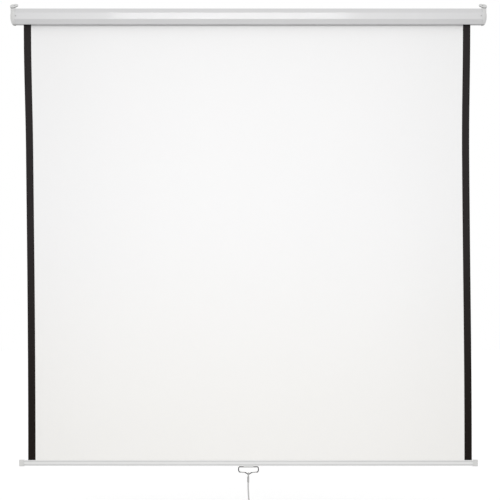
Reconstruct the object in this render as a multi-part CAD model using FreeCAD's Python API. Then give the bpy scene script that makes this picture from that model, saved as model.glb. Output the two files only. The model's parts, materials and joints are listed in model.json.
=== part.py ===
import FreeCAD, Part
import math
import os

# A manual projection screen for a wall or ceiling: a sheet on a spring roller in an
# eight-sided steel case, drawn down by the handle and cord on its weight bar.
# Millimetres. The origin is on the wall, at the middle of the case's flat back.
# +X is to the right, +Y into the wall, +Z up. The screen is drawn fully down.

V = FreeCAD.Vector

# Sheet
FABRIC_WIDTH = 1800.0
FABRIC_DROP = 1752.4
FABRIC_THICKNESS = 0.4
BORDER_WIDTH = 30.0
WRAP_TURNS = 2
WRAP_GAP = 0.1

# Case
CASE_ACROSS = 64.0
CASE_WALL = 0.8
CASE_BEND = 1.8
END_ALLOWANCE = 38.0
SLOT_WIDTH = 20.0
SLOT_SETBACK = 1.6
SLOT_LIP = 4.0
SHEET_SETBACK = 3.75

# End caps
CAP_OVERHANG = 3.5
CAP_CROWN = 70.0
CAP_KNUCKLE = 12.0
CAP_SKIRT = 3.0
CAP_WALL = 2.5
SPIGOT_DEPTH = 24.0
SPIGOT_WALL = 2.0
SPIGOT_CLEARANCE = 0.1
LIP_CLEARANCE = 0.6
BOSS_WALL = 3.0
RIB_THICKNESS = 2.0
RIB_SETBACK = 4.0

# Hanging eye on each cap, a leaf-shaped tab that slopes up towards the wall
EYE_SLOPE = math.radians(45)
EYE_THICKNESS = 5.0
EYE_EDGE = 1.0
EYE_HOLE = 7.0
EYE_OUTER_RADIUS = 11.0
EYE_INNER_RADIUS = 8.0
EYE_OUTER_RISE = 15.0
EYE_INNER_RISE = 20.5
EYE_SPAN = 13.0
EYE_INSET = 7.5
EYE_SINK = 1.5
EYE_BACKSET = 2.0
FIN_LENGTH = 26.0
FIN_TAPER = 3.0
FIN_THICKNESS = 2.0

# Screws through the case into each cap
SCREW_DIAMETER = 3.0
SCREW_HEAD = 6.0
SCREW_HEAD_HEIGHT = 1.8
SCREW_INSET = 6.0
SCREW_REACH = 2.0
SCREW_CLEARANCE = 0.2
RECESS_SPAN = 3.6
RECESS_WIDTH = 0.8
RECESS_DEPTH = 1.0

# Roller and what turns with it
ROLLER_DIAMETER = 28.0
ROLLER_WALL = 1.0
ROLLER_OVERHANG = 4.0
PLUG_DEPTH = 25.0
PLUG_FLANGE = 3.0
PLUG_CLEARANCE = 0.05
PIN_DIAMETER = 7.0
PIN_SETBACK = 5.0
PIN_END_GAP = 1.0
BUSH_WALL = 2.5
BUSH_LENGTH = 16.0
RUNNING_FIT = 0.05
BODY_GAP = 0.4

# Spring motor on the fixed spindle
SPINDLE_DIAMETER = 6.0
TONGUE_THICKNESS = 3.0
TONGUE_LENGTH = 16.0
TONGUE_CLEARANCE = 0.1
COLLAR_DIAMETER = 21.0
COLLAR_LENGTH = 12.0
COLLAR_GAP = 2.0
SPRING_LENGTH = 200.0
SPRING_DIAMETER = 16.0
SPRING_WIRE = 1.6
SPRING_TURNS = 12
SPRING_BEND = 4.0
SPRING_PLUG_LENGTH = 20.0
SPINDLE_NOSE = 12.0

# Ratchet that holds the screen down
RATCHET_RADIUS = 6.2
RATCHET_THICKNESS = 5.0
RATCHET_NOTCHES = 4
NOTCH_DEPTH = 2.0
NOTCH_WIDTH = 3.6
PAWL_PIVOT_RADIUS = 11.3
PAWL_PIVOT_ANGLE = math.radians(64.8)
PAWL_PIN = 2.0
PAWL_EYE_WALL = 1.2
PAWL_ELBOW_RADIUS = 1.4
PAWL_ELBOW_RISE = 3.1
PAWL_NOSE_WIDTH = 2.0
PAWL_NOSE_GAP = 0.3
PAWL_SWING = 16.0
CLIP_RING_WALL = 1.3
CLIP_RING_THICKNESS = 0.8

# Weight bar
BAR_HEIGHT = 23.5
BAR_DEPTH = 9.5
BAR_CORNER = 3.5
BAR_WALL = 1.2
BAR_OVERHANG = 22.0
FLUTE_INSET = 5.3
FLUTE_RADIUS = 1.4
FLUTE_DEPTH = 1.3
NECK_WIDTH = 2.2
HEM_ROD = 4.0
HEM_CLEARANCE = 0.2
HEM_TAIL = 2.0
GROOVE_MOUTH = 4.0
GROOVE_WIDTH = 6.2
GROOVE_HEIGHT = 2.6
SLEEVE_WALL = 1.8
SLEEVE_LENGTH = 20.0
SLEEVE_END = 2.0
STOP_GAP = 1.0

# Handle and its clip
WIRE_DIAMETER = 4.0
WIRE_END_GAP = 2.0
CLIP_LENGTH = 40.0
CLIP_EYE_WALL = 1.5
CLIP_GAP = 0.4
CLIP_SLIDE_FIT = 0.1
BAIL_TOP_HALF = 38.5
BAIL_WIDE_HALF = 41.0
BAIL_WIDE_DROP = 13.0
BAIL_LOW_HALF = 36.5
BAIL_LOW_DROP = 20.8
BAIL_DIP_HALF = 12.0
BAIL_DIP_START = 23.2
BAIL_DIP_DROP = 31.2
BAIL_BENDS = (4.0, 14.0, 3.5, 6.0)
BAIL_DIP_BEND = 6.0

# Cord, tied round the dip of the handle
CORD_DIAMETER = 5.5
HITCH_GAP = 0.3
HITCH_RADIUS = 4.6
HITCH_LENGTH = 24.0
END_KNOT_RADIUS = 6.2
END_KNOT_LENGTH = 15.0
CORD_ROUTE = (
    (-1.5, -31.0),
    (-1.5, -60.0),
    (0.6, -94.0),
    (4.2, -133.0),
    (8.2, -174.0),
    (11.4, -218.0),
    (13.2, -262.0),
    (13.2, -300.0),
)
CORD_BEND_SHARE = 0.45

# Places that follow from the sizes above
CASE_Y = -CASE_ACROSS / 2
CASE_BOTTOM = -CASE_ACROSS / 2
CASE_INSIDE = CASE_ACROSS - 2 * CASE_WALL
FLAT_HALF = CASE_ACROSS / 2 * math.tan(math.pi / 8)
SLOT_BACK = CASE_Y + FLAT_HALF - SLOT_SETBACK
SLOT_FRONT = SLOT_BACK - SLOT_WIDTH
FABRIC_Y = SLOT_BACK - SHEET_SETBACK
WRAP_PITCH = FABRIC_THICKNESS + WRAP_GAP
WRAP_OUTSIDE = ROLLER_DIAMETER / 2 + WRAP_GAP + (WRAP_TURNS + 0.5) * WRAP_PITCH
ROLLER_Y = FABRIC_Y - FABRIC_THICKNESS / 2 - BODY_GAP - WRAP_OUTSIDE

FABRIC_HALF = FABRIC_WIDTH / 2
CASE_HALF = FABRIC_HALF + END_ALLOWANCE
TUBE_HALF = FABRIC_HALF + ROLLER_OVERHANG
FLANGE_FACE = TUBE_HALF + PLUG_FLANGE
RATCHET_NEAR = FLANGE_FACE + BODY_GAP
RATCHET_FAR = RATCHET_NEAR + RATCHET_THICKNESS
BOSS_FACE = RATCHET_FAR + CLIP_RING_THICKNESS + BODY_GAP
BUSH_RADIUS = PIN_DIAMETER / 2 + RUNNING_FIT + BUSH_WALL
BOSS_RADIUS = BUSH_RADIUS + BOSS_WALL

CAP_RADIUS = CASE_ACROSS / 2 + CAP_OVERHANG
KNUCKLE_X = CASE_HALF + CAP_SKIRT
CROWN_BACK = math.sqrt((CAP_CROWN - CAP_KNUCKLE) ** 2 - (CAP_RADIUS - CAP_KNUCKLE) ** 2)
CROWN_X = KNUCKLE_X - CROWN_BACK
CAP_END = CROWN_X + CAP_CROWN
SPIGOT_ACROSS = CASE_INSIDE - 2 * SPIGOT_CLEARANCE
EYE_BASE = V(0, CASE_Y + EYE_BACKSET, CAP_RADIUS - EYE_SINK)
EYE_UP = V(0, math.cos(EYE_SLOPE), math.sin(EYE_SLOPE))
EYE_OUTER_X = CAP_END - EYE_INSET
EYE_INNER_X = EYE_OUTER_X - EYE_SPAN

COLLAR_END = -(TUBE_HALF - PLUG_DEPTH - COLLAR_GAP)
SPRING_START = COLLAR_END + COLLAR_LENGTH
SPRING_END = SPRING_START + SPRING_LENGTH
SPRING_PLUG_FACE = SPRING_END + BODY_GAP

BAR_TOP = CASE_BOTTOM - FABRIC_DROP
BAR_BOTTOM = BAR_TOP - BAR_HEIGHT
BAR_HALF = FABRIC_HALF + BAR_OVERHANG
HEM_RADIUS = HEM_ROD / 2 + FABRIC_THICKNESS
HEM_CHANNEL = HEM_RADIUS + HEM_CLEARANCE
HEM_Z = BAR_TOP - BAR_WALL - HEM_CHANNEL
HANDLE_Z = BAR_BOTTOM - CLIP_GAP - CLIP_EYE_WALL - WIRE_DIAMETER / 2 - RUNNING_FIT
BAR_TRAVEL = FABRIC_DROP - SLEEVE_WALL - STOP_GAP


def rod(x0, x1, radius, y, z):
    return Part.makeCylinder(radius, x1 - x0, V(x0, y, z), V(1, 0, 0))


def block(x0, x1, y0, y1, z0, z1):
    return Part.makeBox(x1 - x0, y1 - y0, z1 - z0, V(x0, y0, z0))


def line(start, end):
    return Part.LineSegment(start, end).toShape()


def unit(vector):
    return V(vector).normalize()


def across_sheet(face, x0, x1):
    """A profile drawn in the plane x = 0, drawn out along X from x0 to x1."""
    solid = face.extrude(V(x1 - x0, 0, 0))
    solid.translate(V(x0, 0, 0))
    return solid


def octagon(across, x0, x1):
    """An eight-sided bar on the case's own axis, its corners bent on the same centres as the case's."""
    bend = max(CASE_BEND - (CASE_ACROSS - across) / 2, 0)
    corner = (across / 2 - bend) / math.cos(math.pi / 8)
    arcs = []
    for k in range(8):
        middle = math.pi / 8 + k * math.pi / 4
        centre = V(0, CASE_Y + corner * math.cos(middle), corner * math.sin(middle))
        angles = [middle + t * math.pi / 8 for t in (-1, 0, 1)]
        arcs.append([centre + V(0, math.cos(a), math.sin(a)) * bend for a in angles])
    edges = []
    for arc, after in zip(arcs, arcs[1:] + arcs[:1]):
        if bend:
            edges.append(Part.Arc(*arc).toShape())
        edges.append(line(arc[-1], after[0]))
    return across_sheet(Part.Face(Part.Wire(edges)), x0, x1)


def rounded_profile(depth, height, corner, y, z):
    """An upright rounded rectangle centred on y, z in the plane x = 0."""
    half_y = depth / 2 - corner
    half_z = height / 2 - corner
    edges = []
    corners = [(1, 1), (-1, 1), (-1, -1), (1, -1)]
    for turn, (side_y, side_z) in enumerate(corners):
        centre = V(0, y + side_y * half_y, z + side_z * half_z)
        angles = [math.pi / 2 * turn + math.pi / 4 * k for k in range(3)]
        arc = [centre + V(0, math.cos(a), math.sin(a)) * corner for a in angles]
        edges.append(Part.Arc(*arc).toShape())
    ends = [(e.Vertexes[0].Point, e.Vertexes[-1].Point) for e in edges]
    sides = [line(ends[k][1], ends[(k + 1) % 4][0]) for k in range(4)]
    ordered = [edge for pair in zip(edges, sides) for edge in pair]
    return Part.Face(Part.Wire(ordered))


def leaf(centre_a, radius_a, centre_b, radius_b, thickness):
    """A plate round two circles, in the plane z = 0, half of its thickness to each side."""
    across = centre_b - centre_a
    along = math.atan2(across.y, across.x)
    lean = math.acos((radius_a - radius_b) / across.Length)

    def on(centre, radius, angle):
        return centre + V(math.cos(angle), math.sin(angle), 0) * radius

    a_left, a_far, a_right = [on(centre_a, radius_a, along + t) for t in (lean, math.pi, -lean)]
    b_right, b_far, b_left = [on(centre_b, radius_b, along + t) for t in (-lean, 0, lean)]
    edges = [
        Part.Arc(a_left, a_far, a_right).toShape(),
        line(a_right, b_right),
        Part.Arc(b_right, b_far, b_left).toShape(),
        line(b_left, a_left),
    ]
    plate = Part.Face(Part.Wire(edges)).extrude(V(0, 0, thickness))
    plate.translate(V(0, 0, -thickness / 2))
    return plate


def placed(shape, origin, x_way, y_way):
    """The shape, moved from the plane z = 0 to one through origin along two directions."""
    z_way = x_way.cross(y_way)
    rows = [(x_way[k], y_way[k], z_way[k], origin[k]) for k in range(3)]
    values = [value for row in rows for value in row]
    moved = shape.copy()
    moved.Placement = FreeCAD.Placement(FreeCAD.Matrix(*values, 0, 0, 0, 1)) * shape.Placement
    return moved


def corner_arc(start, corner, end):
    """The arc that leaves start towards corner and comes to end from it."""
    middle = (start + end) / 2
    cosine = (end - start).Length / 2 / (corner - start).Length
    return Part.Arc(start, middle + (corner - middle) * (cosine / (1 + cosine)), end).toShape()


def bent_wire(points, radii):
    """Straight runs through the points, joined by tangent arcs."""
    edges = []
    start = points[0]
    for before, corner, after, radius in zip(points, points[1:], points[2:], radii):
        way_in = unit(corner - before)
        way_out = unit(after - corner)
        reach = radius * math.tan(way_in.getAngle(way_out) / 2)
        first = corner - way_in * reach
        last = corner + way_out * reach
        edges.append(line(start, first))
        edges.append(corner_arc(first, corner, last))
        start = last
    edges.append(line(start, points[-1]))
    return Part.Wire(edges)


def tube_along(path, diameter):
    first = path.Edges[0]
    start = first.valueAt(first.FirstParameter)
    tangent = first.tangentAt(first.FirstParameter)
    section = Part.Wire(Part.makeCircle(diameter / 2, start, tangent))
    return path.makePipeShell([section], True, False)


def turned(profile_edges, base, axis):
    """A closed profile turned all the way round an axis."""
    return Part.Face(Part.Wire(profile_edges)).revolve(base, axis, 360)


# Case
def case_shell():
    """Roll-formed channel: eight flats, with a folded lip along each side of the slot."""
    shell = octagon(CASE_ACROSS, -CASE_HALF, CASE_HALF)
    shell = shell.cut(octagon(CASE_INSIDE, -CASE_HALF, CASE_HALF))
    floor = CASE_BOTTOM + CASE_WALL
    slot = block(-CASE_HALF, CASE_HALF, SLOT_FRONT, SLOT_BACK, CASE_BOTTOM, floor)
    shell = shell.cut(slot)
    for inner, outer in ((SLOT_FRONT - CASE_WALL, SLOT_FRONT), (SLOT_BACK, SLOT_BACK + CASE_WALL)):
        lip = block(-CASE_HALF, CASE_HALF, inner, outer, CASE_BOTTOM, CASE_BOTTOM + SLOT_LIP)
        shell = shell.fuse(lip)
    hole = SCREW_DIAMETER / 2 + SCREW_CLEARANCE
    for seat, way in screw_seats():
        shell = shell.cut(Part.makeCylinder(hole, 3 * CASE_WALL, seat - way * CASE_WALL, way))
    return shell.removeSplitter()


def screw_seats():
    """Where each cap screw's head meets the case, and the way that its shank points."""
    seats = []
    for side in (-1, 1):
        x = side * (CASE_HALF - SCREW_INSET)
        seats.append((V(x, -CASE_ACROSS, 0), V(0, 1, 0)))
        seats.append((V(x, CASE_Y, CASE_ACROSS / 2), V(0, 0, -1)))
    return seats


def cap_screw(seat, way):
    """Pan-head screw with a rounded, cross-recessed head."""
    shank = CASE_WALL + SPIGOT_CLEARANCE + SPIGOT_WALL + SCREW_REACH
    body = Part.makeCylinder(SCREW_DIAMETER / 2, shank, seat, way)
    rim = SCREW_HEAD / 2
    dome_radius = (rim**2 + SCREW_HEAD_HEIGHT**2) / (2 * SCREW_HEAD_HEIGHT)
    ball = Part.makeSphere(dome_radius, seat + way * (dome_radius - SCREW_HEAD_HEIGHT))
    head = ball.common(Part.makeCylinder(SCREW_HEAD, SCREW_HEAD, seat - way * SCREW_HEAD, way))
    half_span, half_width = RECESS_SPAN / 2, RECESS_WIDTH / 2
    deep = (-RECESS_DEPTH, RECESS_DEPTH)
    cross = block(-half_span, half_span, -half_width, half_width, *deep)
    cross = cross.fuse(block(-half_width, half_width, -half_span, half_span, *deep))
    out = way * -1
    cross = placed(cross, seat + out * SCREW_HEAD_HEIGHT, V(1, 0, 0), out.cross(V(1, 0, 0)))
    return body.fuse(head).cut(cross).removeSplitter()


# End caps
def dome(wall, x_start):
    """Dished end: a skirt, a knuckle and a shallow crown, set in by a wall thickness."""
    radius = CAP_RADIUS - wall
    knuckle = CAP_KNUCKLE - wall
    crown = CAP_CROWN - wall

    def at(x, r):
        return V(x, CASE_Y, r)

    meet_way = unit(at(CROWN_BACK, CAP_RADIUS - CAP_KNUCKLE) - at(0, 0))
    knuckle_centre = at(KNUCKLE_X, CAP_RADIUS - CAP_KNUCKLE)
    crown_centre = at(CROWN_X, 0)
    knuckle_top = knuckle_centre + V(0, 0, knuckle)
    knuckle_mid = knuckle_centre + unit(meet_way + V(0, 0, 1)) * knuckle
    meet = crown_centre + meet_way * crown
    crown_mid = crown_centre + unit(meet_way + V(1, 0, 0)) * crown
    apex = crown_centre + V(crown, 0, 0)
    edges = [
        line(at(x_start, 0), at(x_start, radius)),
        line(at(x_start, radius), knuckle_top),
        Part.Arc(knuckle_top, knuckle_mid, meet).toShape(),
        Part.Arc(meet, crown_mid, apex).toShape(),
        line(apex, at(x_start, 0)),
    ]
    solid = turned(edges, V(0, CASE_Y, 0), V(1, 0, 0))
    room = block(x_start, CAP_END, -2 * CAP_RADIUS + CASE_Y, -wall, -CAP_RADIUS, CAP_RADIUS)
    return solid.common(room)


def hanging_eye():
    """Leaf-shaped tab on a thinner fin behind it that runs over the dome, pierced for a hook or screw."""
    outer = V(EYE_OUTER_X, EYE_OUTER_RISE, 0)
    inner = V(EYE_INNER_X, EYE_INNER_RISE, 0)
    tab = leaf(outer, EYE_OUTER_RADIUS, inner, EYE_INNER_RADIUS, EYE_THICKNESS)
    rims = [e for e in tab.Edges if abs(e.Vertexes[0].Point.z - e.Vertexes[-1].Point.z) < EYE_EDGE]
    tab = tab.makeFillet(EYE_EDGE, rims)
    root = CASE_HALF + CAP_SKIRT
    outline = [
        V(root, EYE_OUTER_RISE, 0),
        V(CAP_END, EYE_OUTER_RISE, 0),
        V(CAP_END, 0, 0),
        V(CAP_END - FIN_TAPER, -FIN_LENGTH, 0),
        V(root, -FIN_LENGTH, 0),
    ]
    fin = Part.Face(Part.makePolygon(outline + outline[:1])).extrude(V(0, 0, FIN_THICKNESS))
    fin.translate(V(0, 0, -EYE_THICKNESS / 2))
    hole = Part.makeCylinder(EYE_HOLE / 2, 2 * EYE_THICKNESS, (outer + inner) / 2 - V(0, 0, EYE_THICKNESS))
    return placed(tab.fuse(fin).cut(hole), EYE_BASE, V(1, 0, 0), EYE_UP)


def end_cap(socket):
    """Right-hand cap: hollow dome and eye, a spigot that plugs the case, and a ribbed boss."""
    inner_end = CASE_HALF - SPIGOT_DEPTH
    throat_across = SPIGOT_ACROSS - 2 * SPIGOT_WALL
    outside = dome(0, CASE_HALF)
    spigot = octagon(SPIGOT_ACROSS, inner_end, CASE_HALF)
    shell = outside.fuse([spigot, hanging_eye()])
    shell = shell.cut(dome(CAP_WALL, CASE_HALF + CAP_WALL))
    shell = shell.cut(octagon(throat_across, inner_end, CASE_HALF + CAP_WALL))

    reach = CASE_ACROSS
    web_start = BOSS_FACE + RIB_SETBACK
    boss = rod(BOSS_FACE, CAP_END, BOSS_RADIUS, ROLLER_Y, 0)
    half = RIB_THICKNESS / 2
    level = block(web_start, CAP_END, -reach, 0, -half, half)
    upright = block(web_start, CAP_END, ROLLER_Y - half, ROLLER_Y + half, -reach, reach)
    inside = octagon(SPIGOT_ACROSS, inner_end, CASE_HALF).fuse(outside)
    cap = shell.fuse(boss.fuse([level, upright]).common(inside))

    lip_room = block(
        inner_end,
        CASE_HALF,
        SLOT_FRONT - CASE_WALL - LIP_CLEARANCE,
        SLOT_BACK + CASE_WALL + LIP_CLEARANCE,
        CASE_BOTTOM,
        CASE_BOTTOM + SLOT_LIP + LIP_CLEARANCE,
    )
    cap = cap.cut([lip_room, socket])
    for seat, way in screw_seats():
        if seat.x > 0:
            cap = cap.cut(Part.makeCylinder(SCREW_DIAMETER / 2, SPIGOT_DEPTH / 2, seat, way))
    return cap.removeSplitter()


def mirrored(shape):
    return shape.mirror(V(0, 0, 0), V(1, 0, 0))


def bush_seat():
    return rod(BOSS_FACE, BOSS_FACE + BUSH_LENGTH, BUSH_RADIUS, ROLLER_Y, 0)


def tongue(x0, x1, clearance):
    """The spindle's flat-sided end, or with a clearance the socket that holds it from turning."""
    half = TONGUE_THICKNESS / 2 + clearance
    radius = SPINDLE_DIAMETER / 2 + clearance
    flat = block(x0, x1, ROLLER_Y - radius, ROLLER_Y + radius, -half, half)
    return flat.common(rod(x0, x1, radius, ROLLER_Y, 0))


# Roller
def roller_tube():
    outside = rod(-TUBE_HALF, TUBE_HALF, ROLLER_DIAMETER / 2, ROLLER_Y, 0)
    return outside.cut(rod(-TUBE_HALF, TUBE_HALF, ROLLER_DIAMETER / 2 - ROLLER_WALL, ROLLER_Y, 0))


def sheet_wrap():
    """The turns that stay on the roller: half circles on two centres, each a step wider."""
    step = WRAP_PITCH / 2
    halves = 2 * WRAP_TURNS

    def side(offset):
        """The half circles of one face of the sheet, from the tube outwards."""
        edges = []
        for k in range(halves):
            radius = ROLLER_DIAMETER / 2 + WRAP_GAP + step * (k + 1) + offset
            way = 1 if k % 2 else -1
            centre = V(0, ROLLER_Y + way * step / 2, 0)
            points = [centre + V(0, way * c, -way * s) * radius for c, s in ((-1, 0), (0, 1), (1, 0))]
            edges.append(Part.Arc(*points).toShape())
        return edges

    inner = side(0)
    outer = side(FABRIC_THICKNESS)
    start = line(inner[0].Vertexes[0].Point, outer[0].Vertexes[0].Point)
    end = line(inner[-1].Vertexes[-1].Point, outer[-1].Vertexes[-1].Point)
    outline = Part.Wire(Part.__sortEdges__(inner + [end] + outer + [start]))
    return across_sheet(Part.Face(outline), -FABRIC_HALF, FABRIC_HALF)


def roller_plug(bore):
    """Right-hand plug: a body that fits the tube and a flange against the tube's end."""
    body_radius = ROLLER_DIAMETER / 2 - ROLLER_WALL - PLUG_CLEARANCE
    body = rod(TUBE_HALF - PLUG_DEPTH, TUBE_HALF, body_radius, ROLLER_Y, 0)
    flange = rod(TUBE_HALF, FLANGE_FACE, ROLLER_DIAMETER / 2, ROLLER_Y, 0)
    hole = rod(TUBE_HALF - PLUG_DEPTH, FLANGE_FACE, bore, ROLLER_Y, 0)
    return body.fuse(flange).cut(hole).removeSplitter()


def idler_pin():
    start = TUBE_HALF - PLUG_DEPTH + PIN_SETBACK
    return rod(start, BOSS_FACE + BUSH_LENGTH - PIN_END_GAP, PIN_DIAMETER / 2, ROLLER_Y, 0)


def idler_bush():
    hole = rod(BOSS_FACE, BOSS_FACE + BUSH_LENGTH, PIN_DIAMETER / 2 + RUNNING_FIT, ROLLER_Y, 0)
    return bush_seat().cut(hole)


# Spring motor
def spring_spindle():
    nose = SPRING_PLUG_FACE + SPINDLE_NOSE
    shaft = rod(-BOSS_FACE, nose, SPINDLE_DIAMETER / 2, ROLLER_Y, 0)
    return shaft.fuse(tongue(-BOSS_FACE - TONGUE_LENGTH, -BOSS_FACE, 0)).removeSplitter()


def spring_collar():
    ring = rod(COLLAR_END, SPRING_START, COLLAR_DIAMETER / 2, ROLLER_Y, 0)
    return ring.cut(rod(COLLAR_END, SPRING_START, SPINDLE_DIAMETER / 2, ROLLER_Y, 0))


def spring_plug():
    """Plug inside the tube, with a blind bore that the spindle's nose turns in."""
    body_radius = ROLLER_DIAMETER / 2 - ROLLER_WALL - PLUG_CLEARANCE
    body = rod(SPRING_PLUG_FACE, SPRING_PLUG_FACE + SPRING_PLUG_LENGTH, body_radius, ROLLER_Y, 0)
    bore_end = SPRING_PLUG_FACE + SPINDLE_NOSE + BODY_GAP
    bore = rod(SPRING_PLUG_FACE, bore_end, SPINDLE_DIAMETER / 2 + RUNNING_FIT, ROLLER_Y, 0)
    return body.cut(bore)


def torsion_spring():
    """Round wire wound on two arcs to each half turn, with a straight leg along X at each end."""
    radius = SPRING_DIAMETER / 2
    leg = SPRING_WIRE + SPRING_BEND
    pitch = (SPRING_LENGTH - 2 * leg) / SPRING_TURNS
    rise = pitch / (2 * math.pi)

    def at(angle):
        x = SPRING_START + leg + rise * angle
        return V(x, ROLLER_Y + radius * math.cos(angle), radius * math.sin(angle))

    def heading(angle):
        return unit(V(rise, -radius * math.sin(angle), radius * math.cos(angle)))

    edges = []
    for k in range(2 * SPRING_TURNS):
        start, end = at(math.pi * k), at(math.pi * (k + 1))
        way_in, way_out = heading(math.pi * k), heading(math.pi * (k + 1))
        chord = end - start
        square = 2 * (way_in.dot(way_out) - 1)
        linear = -2 * chord.dot(way_in + way_out)
        root = math.sqrt(linear**2 - 4 * square * chord.dot(chord))
        reach = (-linear - root) / (2 * square)
        first_corner = start + way_in * reach
        last_corner = end - way_out * reach
        joint = (first_corner + last_corner) / 2
        edges.append(corner_arc(start, first_corner, joint))
        edges.append(corner_arc(joint, last_corner, end))

    first, last = at(0), at(2 * math.pi * SPRING_TURNS)
    first_corner = first - heading(0) * SPRING_BEND
    last_corner = last + heading(0) * SPRING_BEND
    first_bend = first_corner - V(SPRING_BEND, 0, 0)
    last_bend = last_corner + V(SPRING_BEND, 0, 0)
    first_end = V(SPRING_START, first_bend.y, first_bend.z)
    last_end = V(SPRING_END, last_bend.y, last_bend.z)
    lead_in = [line(first_end, first_bend), corner_arc(first_bend, first_corner, first)]
    lead_out = [corner_arc(last, last_corner, last_bend), line(last_bend, last_end)]
    path = Part.Wire(lead_in + edges + lead_out)
    print("spring: least gap between turns", round(pitch - SPRING_WIRE, 2), "mm")
    return tube_along(path, SPRING_WIRE)


# Ratchet
def ratchet_wheel():
    """Disc fixed on the spindle, notched so that the pawl can drop in."""
    wheel = rod(-RATCHET_FAR, -RATCHET_NEAR, RATCHET_RADIUS, ROLLER_Y, 0)
    wheel = wheel.cut(rod(-RATCHET_FAR, -RATCHET_NEAR, SPINDLE_DIAMETER / 2, ROLLER_Y, 0))
    half = NOTCH_WIDTH / 2
    floor = -(RATCHET_RADIUS - NOTCH_DEPTH)
    for k in range(RATCHET_NOTCHES):
        notch = block(
            -RATCHET_FAR, -RATCHET_NEAR, ROLLER_Y - half, ROLLER_Y + half, -2 * RATCHET_RADIUS, floor
        )
        notch.rotate(V(0, ROLLER_Y, 0), V(1, 0, 0), 360 / RATCHET_NOTCHES * k)
        wheel = wheel.cut(notch)
    return wheel


def pawl_pivot():
    """The pawl's axis, as a point in the plane x = 0."""
    angle = PAWL_PIVOT_ANGLE - math.pi / 2
    return V(0, ROLLER_Y, 0) + V(0, math.cos(angle), math.sin(angle)) * PAWL_PIVOT_RADIUS


def ratchet_pawl():
    """Arm and nose, drawn with the nose in the notch under the wheel and then swung clear."""
    pivot = pawl_pivot()
    elbow = V(0, ROLLER_Y, -(RATCHET_RADIUS + PAWL_ELBOW_RISE))
    eye = PAWL_PIN / 2 + RUNNING_FIT + PAWL_EYE_WALL
    flat_pivot = V(pivot.y, pivot.z, 0)
    flat_elbow = V(elbow.y, elbow.z, 0)
    arm = leaf(flat_pivot, eye, flat_elbow, PAWL_ELBOW_RADIUS, RATCHET_THICKNESS)
    middle = -(RATCHET_NEAR + RATCHET_FAR) / 2
    arm = placed(arm, V(middle, 0, 0), V(0, 1, 0), V(0, 0, 1))
    half = PAWL_NOSE_WIDTH / 2
    tip = -(RATCHET_RADIUS - NOTCH_DEPTH + PAWL_NOSE_GAP)
    nose = block(-RATCHET_FAR, -RATCHET_NEAR, ROLLER_Y - half, ROLLER_Y + half, elbow.z, tip)
    bore = rod(-RATCHET_FAR, -RATCHET_NEAR, PAWL_PIN / 2 + RUNNING_FIT, pivot.y, pivot.z)
    pawl = arm.fuse(nose).cut(bore).removeSplitter()
    pawl.rotate(pivot, V(1, 0, 0), PAWL_SWING)
    return pawl


def pawl_pin():
    pivot = pawl_pivot()
    return rod(-RATCHET_FAR, -TUBE_HALF, PAWL_PIN / 2, pivot.y, pivot.z)


def ratchet_plug():
    pivot = pawl_pivot()
    plug = mirrored(roller_plug(SPINDLE_DIAMETER / 2 + RUNNING_FIT))
    return plug.cut(rod(-FLANGE_FACE, -TUBE_HALF, PAWL_PIN / 2, pivot.y, pivot.z))


def spindle_clip():
    """Open retaining ring beside the ratchet wheel."""
    x0 = -RATCHET_FAR - CLIP_RING_THICKNESS
    radius = SPINDLE_DIAMETER / 2 + CLIP_RING_WALL
    ring = rod(x0, -RATCHET_FAR, radius, ROLLER_Y, 0)
    ring = ring.cut(rod(x0, -RATCHET_FAR, SPINDLE_DIAMETER / 2, ROLLER_Y, 0))
    half = SPINDLE_DIAMETER / 4
    return ring.cut(block(x0, -RATCHET_FAR, ROLLER_Y - half, ROLLER_Y + half, 0, radius))


# Sheet, hem and weight bar
def sheet_panel(x0, x1):
    half = FABRIC_THICKNESS / 2
    bottom = BAR_TOP + HEM_TAIL + BODY_GAP
    return block(x0, x1, FABRIC_Y - half, FABRIC_Y + half, bottom, -BODY_GAP)


def fabric_hem():
    """The sheet's lower edge, turned round the rod and welded to itself."""
    loop = rod(-FABRIC_HALF, FABRIC_HALF, HEM_RADIUS, FABRIC_Y, HEM_Z)
    doubled = FABRIC_THICKNESS
    tail = block(
        -FABRIC_HALF, FABRIC_HALF, FABRIC_Y - doubled, FABRIC_Y + doubled, HEM_Z, BAR_TOP + HEM_TAIL
    )
    return loop.fuse(tail).cut(hem_rod()).removeSplitter()


def hem_rod():
    return rod(-FABRIC_HALF, FABRIC_HALF, HEM_ROD / 2, FABRIC_Y, HEM_Z)


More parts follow.
